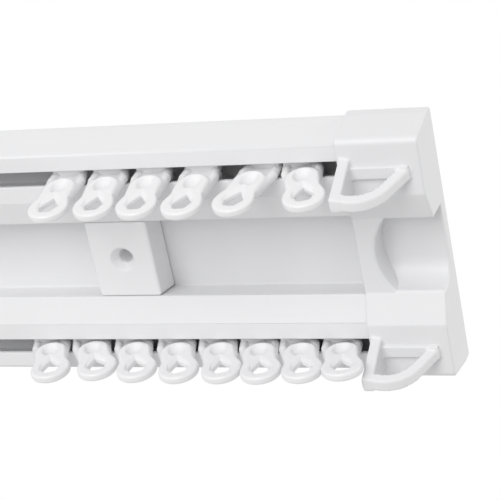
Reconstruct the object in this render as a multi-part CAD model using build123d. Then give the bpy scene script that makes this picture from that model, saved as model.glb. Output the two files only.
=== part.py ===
from build123d import *
import os
from math import cos, radians, sin

# A white plastic double curtain track for a ceiling: two slotted rails in one extrusion, a cap with
# hook loops on each end, dovetail mounting blocks between the rails, and a row of gliders in each rail.
# Frame: origin on the ceiling face at the middle of the track, X along the track, Y across, Z up, in
# millimetres.

# Extrusion
overall_length = 500.0
track_width = 76.6
track_depth = 15.2
edge_strip_height = 3.0
side_taper = 2.2
outer_wall = 1.3
plate_thickness = 1.5
lip_thickness = 1.4
web_thickness = 1.2
outer_lip_width = 5.3
slot_width = 4.7
inner_lip_width = 5.4
slope_run = 8.25
slope_rise = 2.8
recess_undercut = 2.5
outer_corner_radius = 1.0
slope_corner_radius = 0.8

# Working values: cutters are larger than the track, and corners are found to within the match distance
cutter_size = 1000.0
match_distance = 0.01

# End caps
cap_length = 24.1
cap_wall = 1.5
cap_fit = 0.2
cap_end_wall = 3.0
cap_bridge_drop = 0.6
cap_corner_radius = 1.4
cap_slot_end = 9.0
plug_length = 18.0
pocket_rim = 0.4
pocket_floor = 4.6
pocket_reach = 19.0
pocket_end_radius = 17.0
pocket_fillet = 4.5

# Hook loops below the caps
loop_span = 20.6
loop_drop = 14.6
loop_leg = 3.2
loop_leg_lean = 0.8
loop_leg_back = 10.6
loop_bar = 2.8
loop_bar_depth = 3.3
loop_level = 12.6
loop_bend_radius = 12.7
loop_turn = 10.0
loop_tilt = 26.0
loop_inset = 0.9
loop_offset = 4.25
loop_root = 0.8

# Mounting blocks
block_length = 20.0
block_from_end = 98.2
block_fit = 0.2
block_edge_bevel = 0.6
screw_hole = 4.5
countersink = 8.2

# Gliders
glider_width = 12.2
shoulder_width = 10.4
shoulder_drop = 0.8
foot_length = 10.4
foot_breadth = 11.0
foot_thickness = 1.8
foot_corner_cut = 1.6
seat_gap = 0.15
neck_front = 0.8
neck_back = 1.9
neck_straight = 2.2
neck_waist = 10.0
front_depth = 1.5
back_depth = 1.0
arch_width = 9.6
arch_top = 2.2
ring_width = 12.2
ring_drop = 17.2
eye_width = 5.8
eye_roof = 4.9
eye_corner_rise = 0.6
eye_sill = 2.8
eye_sill_width = 3.4
ridge_height = 3.2
ridge_peak = 1.4
hollow_width = 5.2
hollow_crown = 2.6
hollow_depth = 1.3

# Gaps before each glider, counted from the right cap, and how far each one leans along the track and
# across it, in degrees
near_gaps = [5.7, 0.1, 6.0, 3.0, 1.6, 1.1]
near_leans = [18.0, -9.0, 1.0, 5.0, 6.0, 3.0]
near_side_leans = [7.0, 7.0, 7.0, 7.0, 7.0, 7.0]
far_gaps = [3.7, 1.2, 0.5, 1.2, 1.3, 2.1, 2.3, 1.2]
far_leans = [17.5, 21.0, 20.5, 23.5, 23.0, 25.0, 29.0, 23.0]
far_side_leans = [-3.0, 0.0, 1.0, 2.0, 2.0, 2.0, 2.0, 2.0]

# Places worked out from the sizes above
half_width = track_width / 2
lip_corner = half_width - side_taper
slot_outer = lip_corner - outer_lip_width
slot_inner = slot_outer - slot_width
slot_middle = (slot_outer + slot_inner) / 2
slope_start = slot_inner - inner_lip_width
slope_end = slope_start - slope_run
recess_mouth_z = slope_rise - track_depth
recess_wall_top = slope_end + recess_undercut
lip_top_z = lip_thickness - track_depth
web_face = slope_start + web_thickness / 2
track_end = overall_length / 2 - cap_end_wall - cap_fit
cap_inner_face = overall_length / 2 - cap_length
cap_shell = cap_fit + cap_wall
cap_depth = track_depth + cap_shell
bridge_half = slope_end - cap_bridge_drop
bridge_z = recess_mouth_z - cap_bridge_drop
slope_angle_rise = slope_rise / slope_run
block_middle = overall_length / 2 - block_from_end
foot_low = lip_thickness + seat_gap


def mirrored(half):
    """Closed outline from the points of its +Y half, given from the middle line outwards and back."""
    return half + [(-y, z) for y, z in reversed(half) if y > 0]


def section(points):
    """Filled outline through the points."""
    return make_face(Polyline(*points, close=True))


def corners_at(outline, places, radius):
    """Rounds the outline's corners that lie at the given places on both sides."""
    picked = []
    for vertex in outline.vertices():
        for y, z in places:
            if max(abs(abs(vertex.X) - y), abs(vertex.Y - z)) < match_distance:
                picked.append(vertex)
    return fillet(picked, radius)


def along_track(outline, start, end):
    """Solid with the outline as its section, from one place along the track to another."""
    return extrude(Plane.YZ.offset(start) * outline, amount=end - start)


def track_outline(offset):
    """Outer outline of the extrusion, its underside and sides pushed out and its recess pulled in."""
    return mirrored([
        (0, 0),
        (half_width + offset, 0),
        (half_width + offset, -edge_strip_height),
        (lip_corner + offset, -track_depth - offset),
        (slope_start - offset * slope_angle_rise, -track_depth - offset),
        (slope_end - offset, recess_mouth_z - offset),
        (recess_wall_top - offset, -plate_thickness - offset),
        (0, -plate_thickness - offset)])


def side_at(z):
    """How far out the slanted outer side lies at a height."""
    return half_width - side_taper * (-z - edge_strip_height) / (track_depth - edge_strip_height)


def slope_top(y):
    """Height of the slope's underside over a place between the recess and the inner lip."""
    return -track_depth + (slope_start - y) * slope_angle_rise


def recess_wall_at(z):
    """How far out the undercut wall of the recess lies at a height."""
    share = (z - recess_mouth_z) / (-plate_thickness - recess_mouth_z)
    return slope_end + recess_undercut * share


def track_profile():
    """The extrusion, with a screw hole through its plate under each mounting block."""
    outline = section(track_outline(0))
    outline = corners_at(outline, [(lip_corner, -track_depth)], outer_corner_radius)
    outline = corners_at(outline, [(slope_start, -track_depth)], slope_corner_radius)
    chamber_outer = web_face - web_thickness
    chamber_inner = recess_wall_at(recess_mouth_z + outer_wall) + outer_wall
    for side in (1, -1):
        channel = [
            (side * web_face, -plate_thickness),
            (side * (half_width - outer_wall), -plate_thickness),
            (side * (half_width - outer_wall), -edge_strip_height),
            (side * (side_at(lip_top_z) - outer_wall), lip_top_z),
            (side * web_face, lip_top_z)]
        slot = [
            (side * slot_inner, lip_top_z),
            (side * slot_outer, lip_top_z),
            (side * slot_outer, -track_depth - outer_wall),
            (side * slot_inner, -track_depth - outer_wall)]
        chamber = [
            (side * (recess_wall_top + outer_wall), -plate_thickness),
            (side * chamber_outer, -plate_thickness),
            (side * chamber_outer, slope_top(chamber_outer) + outer_wall),
            (side * chamber_inner, slope_top(chamber_inner) + outer_wall)]
        outline = outline - section(channel) - section(slot) - section(chamber)
    body = along_track(outline, -track_end, track_end)
    for side in (1, -1):
        hole = Cylinder(screw_hole / 2, cutter_size)
        body = body - Pos(side * block_middle, 0, 0) * hole
    return body


def hook_loop(side):
    """D-shaped loop below one rail: a leg with an upright back edge, and a bar that bends up to the cap.

    The front outline lies in a plane that leans away from the near side. Its depth runs across the track."""
    turn = radians(loop_turn)
    tilt = radians(loop_tilt)
    along = Vector(cos(turn), sin(turn), 0)
    level = Vector(-sin(turn), cos(turn), 0)
    down = level * sin(tilt) - Vector(0, 0, cos(tilt))
    front = side * slot_middle - loop_offset
    corner = (cap_inner_face + loop_inset, front, -cap_depth)
    plane = Plane(origin=corner, x_dir=along, z_dir=along.cross(down))
    top = -loop_root * 2
    leg = section([
        (0, top),
        (loop_leg, top),
        (loop_leg + loop_leg_lean, loop_drop),
        (loop_leg_lean, loop_drop)])
    rise = Vector(loop_span - loop_level, -loop_drop).normalized()
    corner_shift = loop_bar * (1 - rise.X) / -rise.Y
    inner_level = loop_level - corner_shift
    inner_drop = loop_drop - loop_bar
    end_shift = rise.X / rise.Y * (top - loop_drop)
    inner_shift = rise.X / rise.Y * (top - inner_drop)
    outer_line = FilletPolyline(
        (loop_leg_lean, loop_drop),
        (loop_level, loop_drop),
        (loop_level + end_shift, top),
        radius=loop_bend_radius)
    inner_line = FilletPolyline(
        (inner_level + inner_shift, top),
        (inner_level, inner_drop),
        (loop_leg_lean, inner_drop),
        radius=loop_bend_radius - loop_bar)
    bar = make_face([outer_line, inner_line,
                     Line(outer_line @ 1, inner_line @ 0), Line(inner_line @ 1, outer_line @ 0)])
    across = (0, 1, 0)
    loop = extrude(plane * leg, amount=loop_leg_back, dir=across)
    half_space = Box(cutter_size, cutter_size, cutter_size)
    before_back = Pos(0, front + loop_leg_back - cutter_size / 2, 0) * half_space
    loop = (loop & before_back) + extrude(plane * bar, amount=loop_bar_depth, dir=across)
    below = Pos(0, 0, loop_root - cap_depth - cutter_size / 2) * half_space
    return loop & below


def end_cap():
    """Cap for the right-hand end, moulded as one piece."""
    outer_end = overall_length / 2
    inside_end = outer_end - cap_end_wall
    outline = section(mirrored([
        (0, 0),
        (half_width + cap_shell, 0),
        (half_width + cap_shell, -edge_strip_height - cap_shell),
        (lip_corner + cap_shell, -cap_depth),
        (slope_start, -cap_depth),
        (bridge_half, bridge_z),
        (0, bridge_z)]))
    outline = corners_at(outline, [(lip_corner + cap_shell, -cap_depth)], cap_corner_radius)
    outline = corners_at(outline, [(slope_start, -cap_depth)], slope_corner_radius)
    body = along_track(outline, cap_inner_face, outer_end)
    body = body - along_track(section(track_outline(cap_fit)), cap_inner_face, inside_end)
    for side in (1, -1):
        plug_inner = web_face + cap_fit
        plug_outer = side_at(lip_top_z) - outer_wall - cap_fit
        plug = section([
            (side * plug_inner, -plate_thickness - cap_fit),
            (side * plug_outer, -plate_thickness - cap_fit),
            (side * plug_outer, lip_top_z + cap_fit),
            (side * (slot_outer - cap_fit), lip_top_z + cap_fit),
            (side * (slot_outer - cap_fit), -track_depth),
            (side * (slot_inner + cap_fit), -track_depth),
            (side * (slot_inner + cap_fit), lip_top_z + cap_fit),
            (side * plug_inner, lip_top_z + cap_fit)])
        body = body + along_track(plug, track_end - plug_length, inside_end)
        slot = section([
            (side * slot_inner, -track_depth - cap_fit),
            (side * slot_outer, -track_depth - cap_fit),
            (side * slot_outer, -cap_depth - cap_wall),
            (side * slot_inner, -cap_depth - cap_wall)])
        body = body - along_track(slot, cap_inner_face, outer_end - cap_slot_end)
        body = body + hook_loop(side)
    return body - finger_pocket()


def finger_pocket():
    """Space cut from the middle of the cap: open at the end and below, bowed at its inner end."""
    outer_end = overall_length / 2
    half = bridge_half - pocket_rim
    below = -cap_depth
    fillet_z = -pocket_floor - pocket_fillet
    across = make_face([
        Line((-half, below), (-half, -pocket_floor)),
        Line((-half, -pocket_floor), (half - pocket_fillet, -pocket_floor)),
        RadiusArc((half - pocket_fillet, -pocket_floor), (half, fillet_z), pocket_fillet),
        Line((half, fillet_z), (half, below)),
        Line((half, below), (-half, below))])
    trough = along_track(across, outer_end - pocket_reach, outer_end + cap_end_wall)
    bowed = Cylinder(pocket_end_radius, cutter_size)
    past_bow = Pos(cutter_size / 2, 0, 0) * Box(cutter_size, cutter_size, cutter_size)
    middle = Pos(outer_end - pocket_reach + pocket_end_radius, 0, 0)
    return trough & (middle * (bowed + past_bow))


def mounting_block():
    """Dovetail block seated in the recess, its face flush with the recess mouth, with a countersunk hole."""
    outline = section(mirrored([
        (0, -plate_thickness),
        (recess_wall_top - block_fit, -plate_thickness),
        (slope_end - block_fit, recess_mouth_z),
        (0, recess_mouth_z)]))
    body = along_track(outline, -block_length / 2, block_length / 2)
    face_edges = body.faces().sort_by(Axis.Z)[0].edges().filter_by(Axis.Y)
    body = chamfer(face_edges, block_edge_bevel)
    sink_depth = (countersink - screw_hole) / 2
    sink = Cone(screw_hole / 2, countersink / 2, sink_depth, rotation=(180, 0, 0))
    body = body - Pos(0, 0, recess_mouth_z + sink_depth / 2) * sink
    return body - Cylinder(screw_hole / 2, cutter_size)


def glider():
    """One glider, upright, with the middle of its neck on the origin at the underside of the lips."""
    sole = chamfer(Rectangle(foot_length, foot_breadth).vertices(), foot_corner_cut)
    foot = Pos(0, 0, foot_low) * extrude(sole, amount=foot_thickness)
    half = glider_width / 2
    shoulder = shoulder_width / 2
    waist = neck_waist / 2
    arch_middle = -arch_top - arch_width / 2
    neck_low = arch_middle - neck_straight
    neck = section([
        (-shoulder, foot_low),
        (shoulder, foot_low),
        (half, -shoulder_drop),
        (half, -neck_straight),
        (waist, neck_low),
        (-waist, neck_low),
        (-half, -neck_straight),
        (-half, -shoulder_drop)])
    front = Plane.XZ
    neck_plate = extrude(front.offset(-neck_back) * neck, amount=neck_front + neck_back)
    arch = Pos(0, arch_middle) * Circle(arch_width / 2)
    shaft = Pos(0, (arch_middle - ring_drop) / 2) * Rectangle(arch_width, arch_middle + ring_drop)
    ring = Pos(0, -ring_drop) * Circle(ring_width / 2)
    face = arch + shaft + ring
    loop = extrude(front.offset(-back_depth) * face, amount=front_depth + back_depth)
    eye_half = eye_width / 2
    sill_half = eye_sill_width / 2
    eye_top = -ring_drop + eye_roof
    eye_corner = -ring_drop + eye_corner_rise
    sill_top = -ring_drop - eye_sill
    eye = section([
        (-eye_half, eye_corner),
        (0, eye_top),
        (eye_half, eye_corner),
        (sill_half, sill_top),
        (-sill_half, sill_top)])
    ridge_top = eye_top + ridge_height
    hollow_half = hollow_width / 2
    hollow_top = -arch_top - (arch_width - hollow_width) / 2
    hollow = section([
        (-hollow_half, ridge_top - ridge_peak),
        (0, ridge_top),
        (hollow_half, ridge_top - ridge_peak),
        (hollow_half, hollow_top - hollow_half),
        (hollow_crown / 2, hollow_top),
        (-hollow_crown / 2, hollow_top),
        (-hollow_half, hollow_top - hollow_half)])
    body = foot + neck_plate + loop
    body = body - extrude(front.offset(front_depth - hollow_depth) * hollow, amount=cutter_size)
    return body - extrude(front * eye, amount=cutter_size, both=True)


def placed_glider(upright, side, from_cap, lean, side_lean):
    """Glider leaning as it lies in its rail, with the lowest point of its foot on the lips."""
    foot = Pos(0, 0, foot_low + foot_thickness / 2) * Box(foot_length, foot_breadth, foot_thickness)
    turned = Rot(side_lean, -lean, 0)
    lift = foot_low - (turned * foot).bounding_box().min.Z
    place = Pos(cap_inner_face - from_cap, side * slot_middle, lift - track_depth)
    return place * turned * upright


def write(node, solid):
    export_step(solid, "parts/" + node + ".step")


os.makedirs("parts", exist_ok=True)
write("track_profile", track_profile())
right_cap = end_cap()
write("end_cap_right", right_cap)
write("end_cap_left", right_cap.mirror(Plane.YZ))
block = mounting_block()
for name, sign in (("right", 1), ("left", -1)):
    write("mounting_block_" + name, Pos(sign * block_middle, 0, 0) * block)
upright_glider = glider()
rows = [("near", -1, near_gaps, near_leans, near_side_leans), ("far", 1, far_gaps, far_leans, far_side_leans)]
for rail, side, gaps, leans, side_leans in rows:
    from_cap = -glider_width / 2
    for number, (gap, lean, side_lean) in enumerate(zip(gaps, leans, side_leans), start=1):
        from_cap += gap + glider_width
        name = rail + "_glider_" + str(number)
        write(name, placed_glider(upright_glider, side, from_cap, lean, side_lean))
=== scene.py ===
import bmesh
import bpy
import numpy as np
from mathutils import Matrix, Vector


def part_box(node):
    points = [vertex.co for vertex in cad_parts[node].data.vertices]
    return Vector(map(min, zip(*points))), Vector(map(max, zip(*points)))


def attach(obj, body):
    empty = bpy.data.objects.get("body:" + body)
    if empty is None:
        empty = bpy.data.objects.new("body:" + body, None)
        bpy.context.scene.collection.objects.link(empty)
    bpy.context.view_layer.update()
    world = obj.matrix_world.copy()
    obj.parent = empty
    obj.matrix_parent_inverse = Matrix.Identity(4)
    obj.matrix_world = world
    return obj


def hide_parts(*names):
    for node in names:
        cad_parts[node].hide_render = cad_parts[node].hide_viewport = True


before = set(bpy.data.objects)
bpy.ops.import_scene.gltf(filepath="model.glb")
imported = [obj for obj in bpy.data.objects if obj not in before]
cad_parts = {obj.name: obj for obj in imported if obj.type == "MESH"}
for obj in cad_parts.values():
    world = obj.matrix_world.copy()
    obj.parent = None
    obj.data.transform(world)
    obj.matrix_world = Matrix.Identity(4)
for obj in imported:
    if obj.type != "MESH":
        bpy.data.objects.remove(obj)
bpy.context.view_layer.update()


# Track: one white extrusion with two slotted rails, joined by a plate that lies against the ceiling.
# Hard vinyl, drawn through a die, so faint die lines run along it, and its arrises are a little round.
# Screws through the mounting blocks and the plate hold it up.

MM = 0.001
WELD_DISTANCE = 1e-6
FLAT_ANGLE = np.radians(2.0)
SHARP_ANGLE = np.radians(24.0)
ROUND_SEGMENTS = 3


def softened(node, name, round_radius):
    """Copy of a rigid node with its seams merged, its flat faces joined and every arris rounded.

    Each edge whose two faces turn by more than SHARP_ANGLE gets a bevel of the radius that
    round_radius(middles) gives, where middles are the edges' middle points as one array."""
    bm = bmesh.new()
    bm.from_mesh(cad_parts[node].data)
    bmesh.ops.remove_doubles(bm, verts=bm.verts, dist=WELD_DISTANCE)
    bmesh.ops.dissolve_limit(bm, angle_limit=FLAT_ANGLE, verts=bm.verts, edges=bm.edges)
    mesh = bpy.data.meshes.new(name)
    bm.normal_update()
    turns = np.array([edge.calc_face_angle(0.0) for edge in bm.edges])
    bm.to_mesh(mesh)
    bm.free()
    places = np.empty(len(mesh.vertices) * 3)
    mesh.vertices.foreach_get("co", places)
    ends = np.empty(len(mesh.edges) * 2, int)
    mesh.edges.foreach_get("vertices", ends)
    middles = places.reshape(-1, 3)[ends.reshape(-1, 2)].mean(axis=1)
    radii = np.where(turns > SHARP_ANGLE, round_radius(middles), 0.0)
    largest = float(radii.max())
    weight = mesh.attributes.new("bevel_weight_edge", "FLOAT", "EDGE")
    weight.data.foreach_set("value", (radii / largest).astype(np.float32))
    mesh.shade_smooth()
    piece = bpy.data.objects.new(name, mesh)
    bpy.context.scene.collection.objects.link(piece)
    bevel = piece.modifiers.new("rounded arrises", "BEVEL")
    bevel.limit_method = "WEIGHT"
    bevel.width = largest
    bevel.segments = ROUND_SEGMENTS
    bevel.use_clamp_overlap = False
    bevel.miter_outer = "MITER_ARC"
    normals = piece.modifiers.new("even shading", "WEIGHTED_NORMAL")
    normals.keep_sharp = False
    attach(piece, "track")
    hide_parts(node)
    return piece


CLOUD_SCALE = 60.0
GLOSS_SPREAD = 0.15


def plastic(name, colour, roughness, grain_scale, grain_depth, mottle):
    """White plastic: a faint mottle in colour and gloss, and a fine grain as bump, on Object coordinates.

    grain_scale is waves per metre along X, Y and Z, grain_depth the bump's height in metres."""
    material = bpy.data.materials.new(name)
    material.use_nodes = True
    nodes = material.node_tree.nodes
    links = material.node_tree.links
    shader = nodes["Principled BSDF"]
    shader.inputs["IOR"].default_value = 1.5
    place = nodes.new("ShaderNodeTexCoord")
    stretch = nodes.new("ShaderNodeMapping")
    stretch.inputs["Scale"].default_value = grain_scale
    links.new(place.outputs["Object"], stretch.inputs["Vector"])
    grain = nodes.new("ShaderNodeTexNoise")
    grain.inputs["Scale"].default_value = 1.0
    grain.inputs["Detail"].default_value = 4.0
    links.new(stretch.outputs["Vector"], grain.inputs["Vector"])
    cloud = nodes.new("ShaderNodeTexNoise")
    cloud.inputs["Scale"].default_value = CLOUD_SCALE
    cloud.inputs["Detail"].default_value = 3.0
    links.new(place.outputs["Object"], cloud.inputs["Vector"])
    tint = nodes.new("ShaderNodeMapRange")
    tint.inputs["To Min"].default_value = 1.0 - mottle
    tint.inputs["To Max"].default_value = 1.0 + mottle
    links.new(cloud.outputs["Fac"], tint.inputs["Value"])
    shade = nodes.new("ShaderNodeVectorMath")
    shade.operation = "SCALE"
    shade.inputs[0].default_value = colour
    links.new(tint.outputs["Result"], shade.inputs["Scale"])
    links.new(shade.outputs["Vector"], shader.inputs["Base Color"])
    gloss = nodes.new("ShaderNodeMapRange")
    gloss.inputs["To Min"].default_value = roughness * (1.0 - GLOSS_SPREAD)
    gloss.inputs["To Max"].default_value = roughness * (1.0 + GLOSS_SPREAD)
    links.new(grain.outputs["Fac"], gloss.inputs["Value"])
    links.new(gloss.outputs["Result"], shader.inputs["Roughness"])
    bump = nodes.new("ShaderNodeBump")
    bump.inputs["Distance"].default_value = grain_depth
    links.new(grain.outputs["Fac"], bump.inputs["Height"])
    links.new(bump.outputs["Normal"], shader.inputs["Normal"])
    return material


TRACK_ARRIS = 0.35 * MM
track_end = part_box("track_profile")[1].x - TRACK_ARRIS


def track_arris(middles):
    """Radius of each arris of the track: the same all along, and none at the sawn ends."""
    return np.where(np.abs(middles[:, 0]) < track_end, TRACK_ARRIS, 0.0)


track = softened("track_profile", "track", track_arris)
track_vinyl = plastic("extruded vinyl", colour=(0.84, 0.84, 0.85), roughness=0.38,
                      grain_scale=(6.0, 900.0, 900.0), grain_depth=0.02 * MM, mottle=0.012)
track.data.materials.append(track_vinyl)


# Gliders: one nylon moulding each, with a foot inside the rail, a neck of two limbs and a web through the slot,
# and below it an arch with a blind hollow, a chevron ridge and an eye for the curtain hook.
# Smooth white nylon with every corner blunt, slid into the rail before the cap goes on.

GLIDER_STEP = 0.32
NEWTON_STEPS = 3
LEAST_SLOPE = 0.25
PROBE = 0.02


def soft_min(a, b, reach):
    """Union of two distance fields, blended by a cubic fillet of the given reach."""
    share = np.clip(0.5 + 0.5 * (b - a) / reach, 0.0, 1.0)
    return b + (a - b) * share - reach * share * (1.0 - share)


def soft_max(a, b, reach):
    """Intersection of two distance fields, its arris rounded over the given reach."""
    return -soft_min(-a, -b, reach)


def round_max(a, b, radius):
    """Intersection of two distance fields with a true quarter-round arris of the given radius."""
    outside = np.hypot(np.maximum(a + radius, 0.0), np.maximum(b + radius, 0.0))
    return np.minimum(np.maximum(a, b) + radius, 0.0) + outside - radius


def polygon(u, v, corners):
    """Distance to a closed polygon in a plane, negative inside: least distance to its edges, signed by winding."""
    corners = np.asarray(corners, float)
    least = np.full(u.shape, np.inf)
    sign = np.ones(u.shape)
    for (au, av), (bu, bv) in zip(corners, np.roll(corners, -1, axis=0)):
        eu, ev = bu - au, bv - av
        wu, wv = u - au, v - av
        along = np.clip((wu * eu + wv * ev) / (eu * eu + ev * ev), 0.0, 1.0)
        least = np.minimum(least, np.hypot(wu - along * eu, wv - along * ev))
        rising = (v >= av) & (v < bv) & (eu * wv < ev * wu)
        falling = (v < av) & (v >= bv) & (eu * wv > ev * wu)
        sign = np.where(rising | falling, -sign, sign)
    return sign * least


def slope(field, points):
    """Gradient of a field at points, by central differences."""
    shifts = np.eye(3) * PROBE
    return np.stack([field(points + d) - field(points - d) for d in shifts], axis=1) / (2 * PROBE)


def skin(field, low, high, step):
    """Closed surface where a field is zero, as points, four-sided faces and normals.

    One point for each grid cell that the surface crosses, at the mean of the crossings on its edges, then
    moved onto the surface along the field's gradient. Each crossed grid edge gives the face of its four cells."""
    axes = [np.arange(a, b + step, step) for a, b in zip(low, high)]
    grid = np.stack(np.meshgrid(*axes, indexing="ij"), axis=-1)
    shape = grid.shape[:3]
    value = field(grid.reshape(-1, 3)).reshape(shape)
    cells = tuple(n - 1 for n in shape)
    total = np.zeros(cells + (3,))
    count = np.zeros(cells)
    crossings = []
    for axis in range(3):
        start = tuple(slice(0, -1) if a == axis else slice(None) for a in range(3))
        end = tuple(slice(1, None) if a == axis else slice(None) for a in range(3))
        crossed = (value[start] < 0) != (value[end] < 0)
        gap = np.where(crossed, value[start] - value[end], 1.0)
        spot = grid[start].copy()
        spot[..., axis] += step * value[start] / gap
        crossings.append((crossed, value[start] < 0))
        others = [a for a in range(3) if a != axis]
        for i in (0, 1):
            for j in (0, 1):
                part = [slice(None)] * 3
                part[others[0]] = slice(i, cells[others[0]] + i)
                part[others[1]] = slice(j, cells[others[1]] + j)
                hit = crossed[tuple(part)]
                total += np.where(hit[..., None], spot[tuple(part)], 0.0)
                count += hit
    used = count > 0
    number = np.full(cells, -1)
    number[used] = np.arange(used.sum())
    points = total[used] / count[used][:, None]
    for _ in range(NEWTON_STEPS):
        way = slope(field, points)
        points = points - way * (field(points) / np.maximum((way * way).sum(axis=1), LEAST_SLOPE))[:, None]
    faces = []
    for axis, (crossed, inside) in enumerate(crossings):
        u, v = (axis + 1) % 3, (axis + 2) % 3
        inner = [slice(None)] * 3
        inner[u] = slice(1, -1)
        inner[v] = slice(1, -1)
        spots = np.argwhere(crossed[tuple(inner)])
        corner = np.zeros((4, len(spots), 3), int)
        corner[:] = spots
        corner[1, :, u] += 1
        corner[2, :, u] += 1
        corner[2, :, v] += 1
        corner[3, :, v] += 1
        quad = number[corner[..., 0], corner[..., 1], corner[..., 2]].T
        outward = inside[tuple(inner)][tuple(spots.T)]
        faces.append(np.where(outward[:, None], quad, quad[:, ::-1]))
    way = slope(field, points)
    return points, np.concatenate(faces), way / np.linalg.norm(way, axis=1)[:, None]


def piece_of(name, points, faces, normals):
    """Mesh object at the origin from points in metres, four-sided faces and one normal for each point."""
    mesh = bpy.data.meshes.new(name)
    mesh.vertices.add(len(points))
    mesh.vertices.foreach_set("co", points.astype(np.float32).ravel())
    mesh.loops.add(faces.size)
    mesh.loops.foreach_set("vertex_index", faces.astype(np.int32).ravel())
    mesh.polygons.add(len(faces))
    mesh.polygons.foreach_set("loop_start", np.arange(0, faces.size, 4, dtype=np.int32))
    mesh.update(calc_edges=True)
    mesh.validate()
    mesh.shade_smooth()
    mesh.normals_split_custom_set_from_vertices(normals.tolist())
    item = bpy.data.objects.new(name, mesh)
    bpy.context.scene.collection.objects.link(item)
    return item


RING_DROP, RING_RADIUS = 17.2, 6.1
ARCH_DROP, ARCH_RADIUS = 7.0, 4.8
OUTLINE_FILLET = 1.6
FRONT, BACK = -1.5, 1.0
FACE_ROUND = 0.8
EYE_ROOF, EYE_HALF, EYE_CORNER_RISE = 4.9, 2.9, 0.6
EYE_SILL, EYE_SILL_HALF = 2.8, 1.7
EYE_CORNER_ROUND = 1.0
GABLE_DEPTH, GABLE_WIDTH, GABLE_SPREAD = 0.7, 1.3, 2.0
HOLLOW_DEPTH, HOLLOW_BOW = 1.3, 3.25
HOLLOW_MIDDLE, HOLLOW_HALF = -6.6, 3.6
GABLE_ROUND, HOLLOW_ROUND, RIDGE_ROUND = 0.3, 0.4, 0.3
RIDGE_TOP, RIDGE_FALL = -9.1, 0.54
LIMB_KNEES = np.array([(4.2, 0.55, 3.0), (4.75, 0.55, -1.6), (3.7, 0.2, -11.0)])
LIMB_RADIUS, KNEE_ROUND = 1.35, 0.2
WEB_HALF = 4.4
WEB_FRONT, WEB_BACK = 0.3, 1.7
WEB_TOP, WEB_LOW = 2.5, -9.0
WEB_FILLET, NECK_FILLET = 0.6, 0.9
FOOT_HALF = (5.2, 5.5)
FOOT_CORNER, FOOT_CORNER_ROUND, FOOT_ARRIS = 6.43, 0.8, 0.5
FOOT_LOW, FOOT_TOP = 1.55, 3.35


def capsule(points, start, end, radius):
    """Distance to a round bar between two points, with domed ends."""
    way = end - start
    rel = points - start
    along = np.clip(rel @ way / (way @ way), 0.0, 1.0)
    return np.linalg.norm(rel - along[:, None] * way, axis=1) - radius


def edge_line(u, v, start, end):
    """Distance to the line through two points, positive on its right-hand side."""
    du, dv = end[0] - start[0], end[1] - start[1]
    return ((u - start[0]) * dv - (v - start[1]) * du) / np.hypot(du, dv)


def glider_field(points):
    """Distance field of an upright glider, in millimetres from the middle of its neck under the lips.

    Face: a ring and an arch in the XZ plane, blended, less a gabled eye whose roof edges meet in a mitre, all
    cut to the moulding's depth with round edges, less a dished hollow over the chevron. Neck: two bent limbs
    and a web. Foot: a blunt plate."""
    x, y, z = points.T
    across = np.abs(x)
    rise = z + RING_DROP
    ring = np.hypot(x, rise) - RING_RADIUS
    arch = np.hypot(x, z - np.clip(z, -RING_DROP, -ARCH_DROP)) - ARCH_RADIUS
    outline = soft_min(ring, arch, OUTLINE_FILLET)
    roof = edge_line(across, rise, (EYE_HALF, EYE_CORNER_RISE), (0.0, EYE_ROOF))
    jamb = edge_line(across, rise, (EYE_SILL_HALF, -EYE_SILL), (EYE_HALF, EYE_CORNER_RISE))
    eye = soft_max(soft_max(roof, jamb, EYE_CORNER_ROUND), -EYE_SILL - rise, EYE_CORNER_ROUND)
    depth = np.abs(y - (FRONT + BACK) / 2) - (BACK - FRONT) / 2
    face = round_max(np.maximum(outline, -eye), depth, FACE_ROUND)
    gable = GABLE_DEPTH * (1 - (np.abs(roof) + GABLE_SPREAD * np.maximum(across - EYE_HALF, 0.0)) / GABLE_WIDTH)
    face = soft_max(face, (FRONT + gable - y) * np.cos(np.arctan(GABLE_DEPTH / GABLE_WIDTH)), GABLE_ROUND)
    floor = FRONT + HOLLOW_DEPTH * (1 - ((z - HOLLOW_MIDDLE) / HOLLOW_HALF) ** 2)
    dish = np.hypot(x, y - floor + HOLLOW_BOW) - HOLLOW_BOW
    ridge = (RIDGE_TOP - RIDGE_FALL * across - z) * np.cos(np.arctan(RIDGE_FALL))
    face = soft_max(face, -soft_max(dish, ridge, RIDGE_ROUND), HOLLOW_ROUND)
    mirrored = np.column_stack([across, y, z])
    limb = soft_min(capsule(mirrored, LIMB_KNEES[0], LIMB_KNEES[1], LIMB_RADIUS),
                    capsule(mirrored, LIMB_KNEES[1], LIMB_KNEES[2], LIMB_RADIUS), KNEE_ROUND)
    web = np.maximum(np.abs(y - (WEB_FRONT + WEB_BACK) / 2) - (WEB_BACK - WEB_FRONT) / 2,
                     np.maximum(np.maximum(z - WEB_TOP, WEB_LOW - z), across - WEB_HALF))
    neck = soft_min(limb, web, WEB_FILLET)
    sole = np.maximum(across - FOOT_HALF[0], np.abs(y) - FOOT_HALF[1])
    sole = soft_max(sole, (across + np.abs(y)) / np.sqrt(2) - FOOT_CORNER, FOOT_CORNER_ROUND)
    foot = round_max(sole, np.abs(z - (FOOT_LOW + FOOT_TOP) / 2) - (FOOT_TOP - FOOT_LOW) / 2, FOOT_ARRIS)
    return np.minimum(soft_min(face, neck, NECK_FILLET), foot)


GLIDER_LOW, GLIDER_HIGH = (-7.0, -6.4, -24.2), (7.0, 6.4, 4.2)
glider_points, glider_faces, glider_normals = skin(glider_field, GLIDER_LOW, GLIDER_HIGH, GLIDER_STEP)
glider_nylon = plastic("glider nylon", colour=(0.88, 0.875, 0.885), roughness=0.34,
                       grain_scale=(420.0, 420.0, 420.0), grain_depth=0.012 * MM, mottle=0.01)

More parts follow.
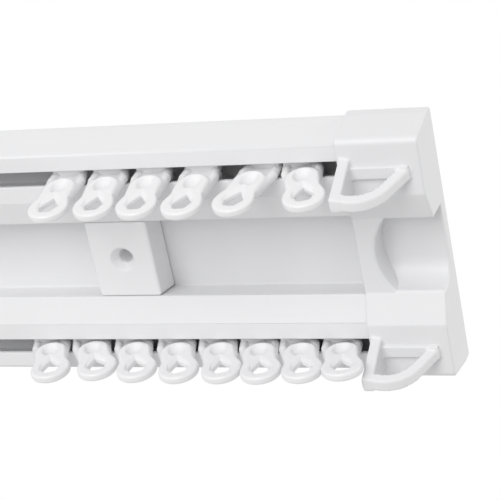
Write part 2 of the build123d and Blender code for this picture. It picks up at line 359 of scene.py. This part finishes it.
GLIDER_WIDTH = 12.2
SLOT_MIDDLE = 28.45
LIP_UNDERSIDE = -15.2
near_gaps = [5.7, 0.1, 6.0, 3.0, 1.6, 1.1]
near_leans = [18.0, -9.0, 1.0, 5.0, 6.0, 3.0]
near_side_leans = [7.0, 7.0, 7.0, 7.0, 7.0, 7.0]
far_gaps = [3.7, 1.2, 0.5, 1.2, 1.3, 2.1, 2.3, 1.2]
far_leans = [17.5, 21.0, 20.5, 23.5, 23.0, 25.0, 29.0, 23.0]
far_side_leans = [-3.0, 0.0, 1.0, 2.0, 2.0, 2.0, 2.0, 2.0]
cap_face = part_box("end_cap_right")[0].x / MM


def leaning(lean, side_lean):
    """Rotation of a glider that leans along the track about Y, then across it about X, in degrees."""
    c, s = np.cos(np.radians(-lean)), np.sin(np.radians(-lean))
    about_y = np.array([[c, 0, s], [0, 1, 0], [-s, 0, c]])
    c, s = np.cos(np.radians(side_lean)), np.sin(np.radians(side_lean))
    about_x = np.array([[1, 0, 0], [0, c, -s], [0, s, c]])
    return about_x @ about_y


foot_corners = np.array([(x, y, z) for x in (-FOOT_HALF[0], FOOT_HALF[0]) for y in (-FOOT_HALF[1], FOOT_HALF[1])
                         for z in (FOOT_LOW, FOOT_TOP)])
for rail, rail_side, gaps, leans, side_leans in (("near", -1, near_gaps, near_leans, near_side_leans),
                                                 ("far", 1, far_gaps, far_leans, far_side_leans)):
    middles = cap_face - np.cumsum(np.array(gaps) + GLIDER_WIDTH) + GLIDER_WIDTH / 2
    for number, (middle, lean, side_lean) in enumerate(zip(middles, leans, side_leans), start=1):
        turned = leaning(lean, side_lean)
        lift = FOOT_LOW - (foot_corners @ turned.T)[:, 2].min()
        place = np.array([middle, rail_side * SLOT_MIDDLE, LIP_UNDERSIDE + lift])
        node = "%s_glider_%d" % (rail, number)
        glider = piece_of(node.replace("glider", "runner"), (glider_points @ turned.T + place) * MM, glider_faces,
                          glider_normals @ turned.T)
        glider.data.materials.append(glider_nylon)
        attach(glider, node)
        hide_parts(node)


# Mounting blocks: moulded dovetail blocks with a countersunk hole, seated between the rails.
# Plain white plastic with a dull face, slid in along the recess and drawn up by their screws.

BLOCK_STEP = 0.4
BLOCK_HALF = 10.0
BLOCK_OUTLINE = [(14.75, -1.7), (-14.75, -1.7), (-12.25, -12.6), (12.25, -12.6)]
BLOCK_FACE = -12.6
BLOCK_ARRIS, BLOCK_END_ARRIS = 0.3, 0.9
SCREW_RADIUS, SINK_RADIUS, SINK_DEPTH = 2.25, 3.9, 2.6


def inset(corners, distance):
    """Corners of a polygon, given anticlockwise, with every edge moved inwards by a distance."""
    corners = np.asarray(corners, float)
    edges = np.roll(corners, -1, axis=0) - corners
    inward = np.column_stack([-edges[:, 1], edges[:, 0]]) / np.linalg.norm(edges, axis=1)[:, None]
    before = np.roll(inward, 1, axis=0)
    share = 1.0 + (inward * before).sum(axis=1)
    return corners + (inward + before) / share[:, None] * distance


BLOCK_CORE = inset(BLOCK_OUTLINE, BLOCK_ARRIS)


def block_field(points):
    """Distance field of a mounting block, in millimetres, with X from its middle.

    A dovetail outline carried along X with blunt ends, less the screw hole and its countersink."""
    x, y, z = points.T
    body = round_max(polygon(y, z, BLOCK_CORE) - BLOCK_ARRIS, np.abs(x) - BLOCK_HALF, BLOCK_END_ARRIS)
    bore = np.hypot(x, y) - SCREW_RADIUS
    flare = (SINK_RADIUS - SCREW_RADIUS) / SINK_DEPTH
    sink = (bore - (BLOCK_FACE + SINK_DEPTH - z) * flare) * np.cos(np.arctan(flare))
    return round_max(body, -np.minimum(bore, sink), BLOCK_ARRIS)


BLOCK_LOW, BLOCK_HIGH = (-10.8, -15.6, -13.4), (10.8, 15.6, -0.9)
block_points, block_faces, block_normals = skin(block_field, BLOCK_LOW, BLOCK_HIGH, BLOCK_STEP)
block_plastic = plastic("moulded block", colour=(0.88, 0.88, 0.89), roughness=0.5,
                        grain_scale=(700.0, 700.0, 700.0), grain_depth=0.02 * MM, mottle=0.012)
for side in ("right", "left"):
    low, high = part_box("mounting_block_" + side)
    middle = np.array([(low.x + high.x) / 2, 0.0, 0.0])
    block = piece_of("block_" + side, block_points * MM + middle, block_faces, block_normals)
    block.data.materials.append(block_plastic)
    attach(block, "track")
    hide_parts("mounting_block_" + side)


# End caps: one moulding on each end, with a finger pocket in the middle and a hook loop below each rail.
# White plastic with a satin face, pushed over the end of the track until its end wall stops it.

CAP_STEP = 0.45
CAP_LENGTH = 24.1
CAP_ARRIS = 0.6
CAP_HALF = 40.0
CAP_STRIP = 4.7
CAP_LIP_HALF = 37.8
CAP_DEPTH = 16.9
SLOPE_START = 20.7
BRIDGE_HALF = 11.85
BRIDGE_Z = -13.0
CAP_OUTLINE = [(-CAP_HALF, 0), (-CAP_HALF, -CAP_STRIP), (-CAP_LIP_HALF, -CAP_DEPTH), (-SLOPE_START, -CAP_DEPTH),
               (-BRIDGE_HALF, BRIDGE_Z), (BRIDGE_HALF, BRIDGE_Z), (SLOPE_START, -CAP_DEPTH),
               (CAP_LIP_HALF, -CAP_DEPTH), (CAP_HALF, -CAP_STRIP), (CAP_HALF, 0)]
END_WALL = 3.0
SEAT_OUTLINE = [(-38.5, 1), (-38.5, -3.2), (-36.3, -15.4), (-20.6, -15.4), (-12.25, -12.6), (-14.75, -1.7),
                (14.75, -1.7), (12.25, -12.6), (20.6, -15.4), (36.3, -15.4), (38.5, -3.2), (38.5, 1)]
SLOT_HALF = 2.35
POCKET_HALF = 11.45
POCKET_FLOOR = -4.6
POCKET_REACH = 19.0
POCKET_BOW = 17.0
POCKET_FILLET, POCKET_ARRIS = 7.0, 0.7
LOOP_SPAN, LOOP_DROP = 20.6, 14.6
LOOP_LEG, LOOP_LEG_LEAN, LOOP_LEG_BACK = 3.2, 0.8, 10.6
LOOP_BAR, LOOP_BAR_DEPTH = 2.8, 3.3
LOOP_LEVEL, LOOP_BEND_RADIUS = 12.6, 12.7
LOOP_TURN, LOOP_TILT = np.radians(10.0), np.radians(26.0)
LOOP_INSET = 0.9
LOOP_OFFSET = 4.25
LOOP_ROOT = 0.8
LOOP_ARRIS = 0.55
LOOP_FILLET, ROOT_FILLET = 0.4, 0.8


def bend(a, b, cosine, radius):
    """Intersection of two half planes, their corner a true arc: distance to the corner of the planes moved in
    by the radius, where both count, less the radius. The cosine is that of the angle between their normals."""
    a, b = a + radius, b + radius
    corner = np.sqrt(np.maximum(a * a + b * b - 2 * a * b * cosine, 0.0) / (1 - cosine * cosine))
    at_corner = (a > b * cosine) & (b > a * cosine)
    return np.where(at_corner, corner, np.maximum(a, b)) - radius


def loop_field(points, rail_side):
    """Distance field of one hook loop.

    The front outline lies in a plane turned about Z and tilted: a leaning leg, and a bar that runs level and
    bends up to the cap. Both run back along Y from that plane, the leg to an upright back edge."""
    along = np.array([np.cos(LOOP_TURN), np.sin(LOOP_TURN), 0.0])
    level = np.array([-np.sin(LOOP_TURN), np.cos(LOOP_TURN), 0.0])
    down = level * np.sin(LOOP_TILT) - np.array([0.0, 0.0, np.cos(LOOP_TILT)])
    across = np.array([0.0, 1.0, 0.0])
    corner = np.array([LOOP_INSET - CAP_LENGTH, rail_side * SLOT_MIDDLE - LOOP_OFFSET, -CAP_DEPTH])
    u, v, back = np.linalg.solve(np.column_stack([along, down, across]), (points - corner).T)
    facing = np.cross(along, down) @ across
    leg = np.abs(u - LOOP_LEG_LEAN * v / LOOP_DROP - LOOP_LEG / 2) - LOOP_LEG / 2
    leg = round_max(leg, v - LOOP_DROP, LOOP_ARRIS)
    leg = round_max(leg, np.maximum(-back * facing, points[:, 1] - corner[1] - LOOP_LEG_BACK), LOOP_ARRIS)
    rise = np.array([LOOP_DROP, LOOP_SPAN - LOOP_LEVEL]) / np.hypot(LOOP_DROP, LOOP_SPAN - LOOP_LEVEL)
    slant = (u - LOOP_SPAN) * rise[0] + v * rise[1]
    outer = bend(v - LOOP_DROP, slant, rise[1], LOOP_BEND_RADIUS)
    inner = bend(v - LOOP_DROP + LOOP_BAR, slant + LOOP_BAR, rise[1], LOOP_BEND_RADIUS - LOOP_BAR)
    bar = np.maximum(np.maximum(outer, -inner), LOOP_LEG_LEAN - u)
    depth = np.abs(back - LOOP_BAR_DEPTH / 2) - LOOP_BAR_DEPTH / 2
    bar = round_max(bar, depth * facing, LOOP_ARRIS)
    return np.maximum(soft_min(leg, bar, LOOP_FILLET), points[:, 2] + CAP_DEPTH - LOOP_ROOT)


PLUG_SIDES = (21.5, 34.85)
PLUG_TOP, PLUG_LOW = -1.7, -13.6
PLUG_FACE, PLUG_NECK_TOP = -15.2, -10.0
PLUG_FIT = 0.2
PLUG_START, PLUG_END = 21.2, 2.0


def plug_field(x, across, z):
    """Distance field of the plug that fills the end of a channel and its slot, for both rails at once."""
    sides = np.maximum(PLUG_SIDES[0] - across, across - PLUG_SIDES[1])
    channel = np.maximum(sides, np.maximum(z - PLUG_TOP, PLUG_LOW - z))
    neck = np.maximum(np.abs(across - SLOT_MIDDLE) - SLOT_HALF + PLUG_FIT,
                      np.maximum(z - PLUG_NECK_TOP, PLUG_FACE - z))
    return np.maximum(np.minimum(channel, neck), np.maximum(x + PLUG_END, -x - PLUG_START))


CAP_CORNER_ROUND = 1.2
CAP_OUTER_ROUND = 2.0
RIB_HALF, RIB_SHIFT, RIB_DROP = 1.9, 0.4, 1.1
RIB_START, RIB_END = -23.0, -3.4
RIB_ARRIS = 0.35
CAP_CORE = inset(CAP_OUTLINE, CAP_CORNER_ROUND)


def cap_field(points):
    """Distance field of the right-hand cap, in millimetres, with X from its outer end.

    The outline carried along X with blunt ends and rounder outer corners, less the seat of the track, plus the
    plugs, less the finger pocket, plus a rib and a hook loop below each rail, joined to the cap with a fillet."""
    x, y, z = points.T
    outline = polygon(y, z, CAP_CORE) - CAP_CORNER_ROUND
    lean = np.arctan2(CAP_HALF - CAP_LIP_HALF, CAP_DEPTH - CAP_STRIP)
    side = (np.abs(y) - CAP_LIP_HALF) * np.cos(lean) - (z + CAP_DEPTH) * np.sin(lean)
    outline = np.maximum(outline, bend(side, -z - CAP_DEPTH, np.sin(lean), CAP_OUTER_ROUND))
    body = round_max(outline, np.maximum(x, -x - CAP_LENGTH), CAP_ARRIS)
    beside = np.abs(y - np.sign(y) * SLOT_MIDDLE - RIB_SHIFT) - RIB_HALF
    below = np.maximum(z + CAP_DEPTH - RIB_DROP, -z - CAP_DEPTH - RIB_DROP)
    rib = round_max(round_max(beside, below, RIB_ARRIS), np.maximum(RIB_START - x, x - RIB_END), RIB_ARRIS)
    seat = np.maximum(polygon(y, z, SEAT_OUTLINE), x + END_WALL)
    body = np.maximum(body, -seat)
    body = np.minimum(body, plug_field(x, np.abs(y), z))
    bow = np.hypot(np.minimum(x + POCKET_REACH - POCKET_BOW, 0.0), y) - POCKET_BOW
    trough = round_max(z - POCKET_FLOOR, y - POCKET_HALF, POCKET_FILLET)
    trough = np.maximum(trough, -y - POCKET_HALF)
    trough = np.maximum(trough, bow)
    body = round_max(body, -trough, POCKET_ARRIS)
    loops = np.minimum(loop_field(points, -1), loop_field(points, 1))
    return soft_min(np.minimum(body, rib), loops, ROOT_FILLET)


CAP_LOW, CAP_HIGH = (-CAP_LENGTH - 1.0, -41.0, -31.5), (1.0, 41.0, 1.0)
cap_points, cap_faces, cap_normals = skin(cap_field, CAP_LOW, CAP_HIGH, CAP_STEP)
cap_plastic = plastic("moulded cap", colour=(0.81, 0.81, 0.82), roughness=0.4,
                      grain_scale=(500.0, 500.0, 500.0), grain_depth=0.015 * MM, mottle=0.012)
for side, sign in (("right", 1), ("left", -1)):
    reach = np.array([sign, 1.0, 1.0])
    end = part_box("end_cap_" + side)[1 if sign > 0 else 0].x
    points = (cap_points * reach) * MM + np.array([end, 0.0, 0.0])
    cap = piece_of("cap_" + side, points, cap_faces if sign > 0 else cap_faces[:, ::-1], cap_normals * reach)
    cap.data.materials.append(cap_plastic)
    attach(cap, "track")
    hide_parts("end_cap_" + side)


# Floor, light and camera: a pale floor far below, an even white sky, a large soft lamp from the near side and
# below and a weaker one beyond the right-hand end. The camera is under that end and looks up at the rails.

FLOOR_DROP = 3.0
FLOOR_SIZE = 8.0
corners = np.array([(-1, -1), (1, -1), (1, 1), (-1, 1)]) * FLOOR_SIZE / 2
floor_mesh = bpy.data.meshes.new("floor")
floor_mesh.from_pydata(np.column_stack([corners, np.full(4, -FLOOR_DROP)]).tolist(), [], [(0, 1, 2, 3)])
floor = bpy.data.objects.new("floor", floor_mesh)
bpy.context.scene.collection.objects.link(floor)
floor_paint = bpy.data.materials.new("pale floor")
floor_paint.use_nodes = True
floor_paint.node_tree.nodes["Principled BSDF"].inputs["Base Color"].default_value = (0.85, 0.85, 0.85, 1.0)
floor_paint.node_tree.nodes["Principled BSDF"].inputs["Roughness"].default_value = 0.9
floor_mesh.materials.append(floor_paint)

FILL = 0.6
world = bpy.data.worlds.new("studio")
bpy.context.scene.world = world
world.use_nodes = True
sky_nodes = world.node_tree.nodes
sky_links = world.node_tree.links
sky = sky_nodes["Background"]
sky.inputs["Color"].default_value = (1.0, 1.0, 1.0, 1.0)
path = sky_nodes.new("ShaderNodeLightPath")
direct = sky_nodes.new("ShaderNodeMath")
direct.operation = "MAXIMUM"
sky_links.new(path.outputs["Is Camera Ray"], direct.inputs[0])
sky_links.new(path.outputs["Is Transmission Ray"], direct.inputs[1])
seen = sky_nodes.new("ShaderNodeMath")
seen.operation = "MAXIMUM"
sky_links.new(direct.outputs["Value"], seen.inputs[0])
sky_links.new(path.outputs["Is Glossy Ray"], seen.inputs[1])
strength = sky_nodes.new("ShaderNodeMapRange")
strength.inputs["To Min"].default_value = FILL
strength.inputs["To Max"].default_value = 1.0
sky_links.new(seen.outputs["Value"], strength.inputs["Value"])
sky_links.new(strength.outputs["Result"], sky.inputs["Strength"])

CAMERA_PLACE = Vector((0.40476, -0.25132, -0.49223))
CAMERA_RIGHT = Vector((0.9310, 0.1851, 0.3147))
CAMERA_UP = Vector((0.0180, -0.8842, 0.4668))
CAMERA_BACK = Vector((0.3646, -0.4289, -0.8265))
CAMERA_LENS = 143.77
camera_data = bpy.data.cameras.new("camera")
camera_data.lens = CAMERA_LENS
camera_data.sensor_width = 36.0
camera_data.clip_start = 0.01
camera = bpy.data.objects.new("camera", camera_data)
bpy.context.scene.collection.objects.link(camera)
turn = Matrix((CAMERA_RIGHT, CAMERA_UP, CAMERA_BACK)).transposed().to_4x4()
camera.matrix_world = Matrix.Translation(CAMERA_PLACE) @ turn
bpy.context.scene.camera = camera

AIM = Vector((0.19, 0.0, -0.01))


def lamp(name, toward, distance, size, power):
    """Square soft lamp at a distance from the aim, in a direction of the frame, facing the aim."""
    data = bpy.data.lights.new(name, "AREA")
    data.size = size
    data.energy = power
    item = bpy.data.objects.new(name, data)
    bpy.context.scene.collection.objects.link(item)
    way = Vector(toward).normalized()
    item.location = AIM + way * distance
    item.rotation_mode = "QUATERNION"
    item.rotation_quaternion = (-way).to_track_quat("-Z", "Y")
    item.visible_camera = False
    return item


lamp("key", toward=(-0.15, -0.7, -0.7), distance=3.0, size=2.2, power=48.0)
lamp("end", toward=(0.85, -0.1, 0.5), distance=3.0, size=2.0, power=26.0)

bpy.context.scene.view_settings.view_transform = "Standard"
